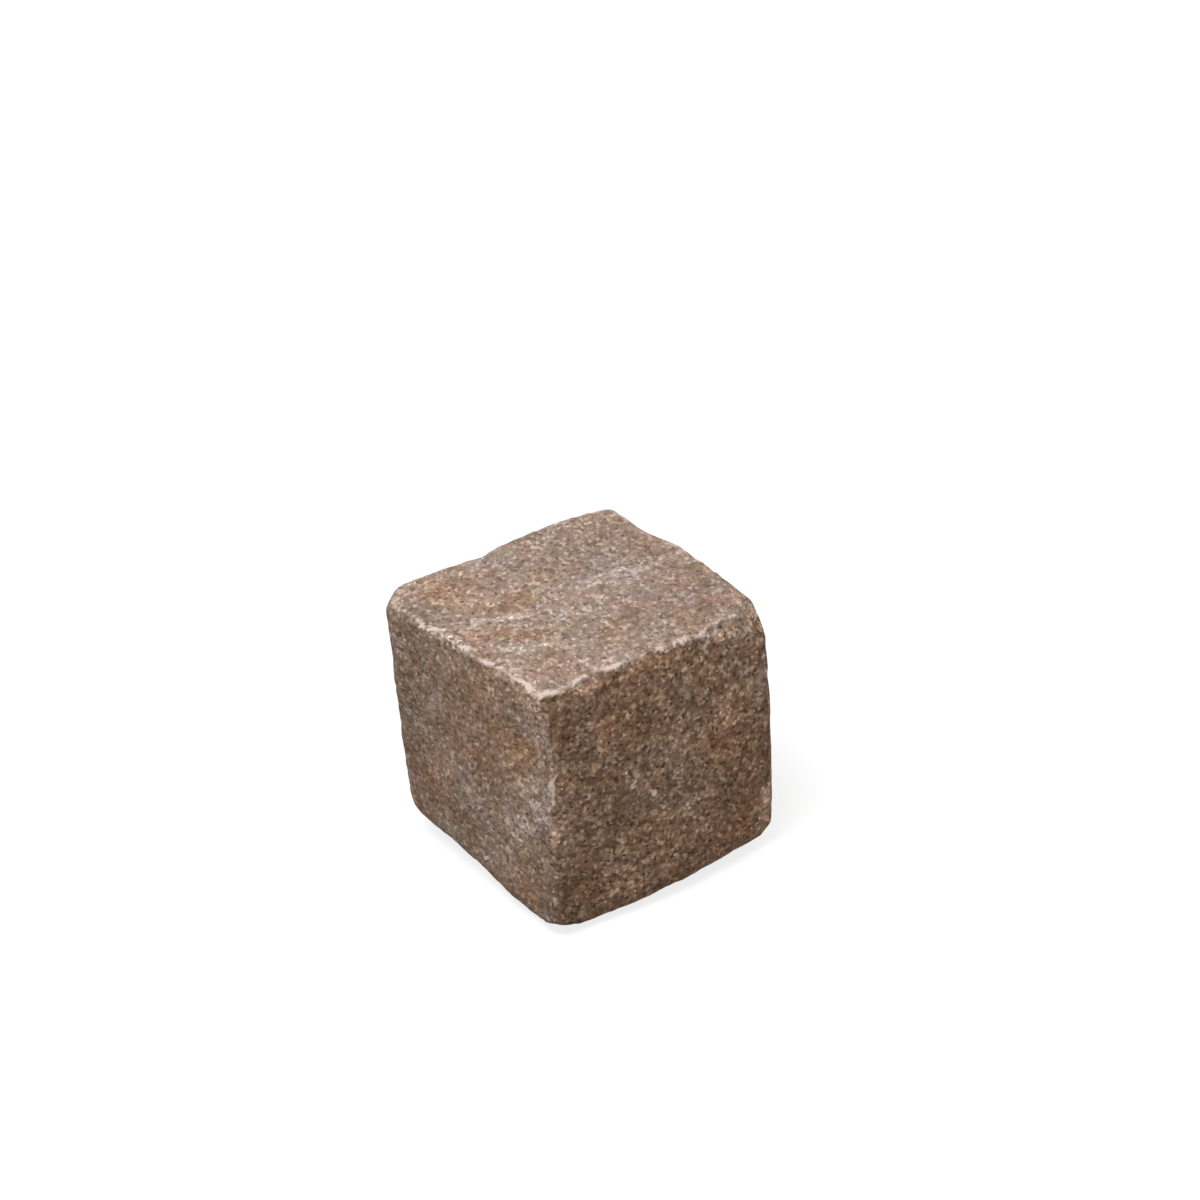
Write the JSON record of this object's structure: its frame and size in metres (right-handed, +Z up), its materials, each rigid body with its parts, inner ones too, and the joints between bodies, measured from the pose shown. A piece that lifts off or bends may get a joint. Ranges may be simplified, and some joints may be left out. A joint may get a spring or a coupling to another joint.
{
  "type": "granite sett",
  "caption": "Rough cube of split and tumbled granite with cleft faces and worn arrises, for paving roads, paths and edgings.",
  "frame": {"origin": "on the bed, under the middle of the stone's extent", "axes": "+Z up from the bed to the head, -Y out of the front joint face, +X to the right seen from the front"},
  "size_m": [0.1012, 0.1022, 0.0936],
  "materials": {
    "granite": "matt split granite, tan and brown with pale and dark grains, arrises bruised paler by tumbling"
  },
  "bodies": {
    "root": {"granite_sett": "granite"}
  },
  "joints": []
}
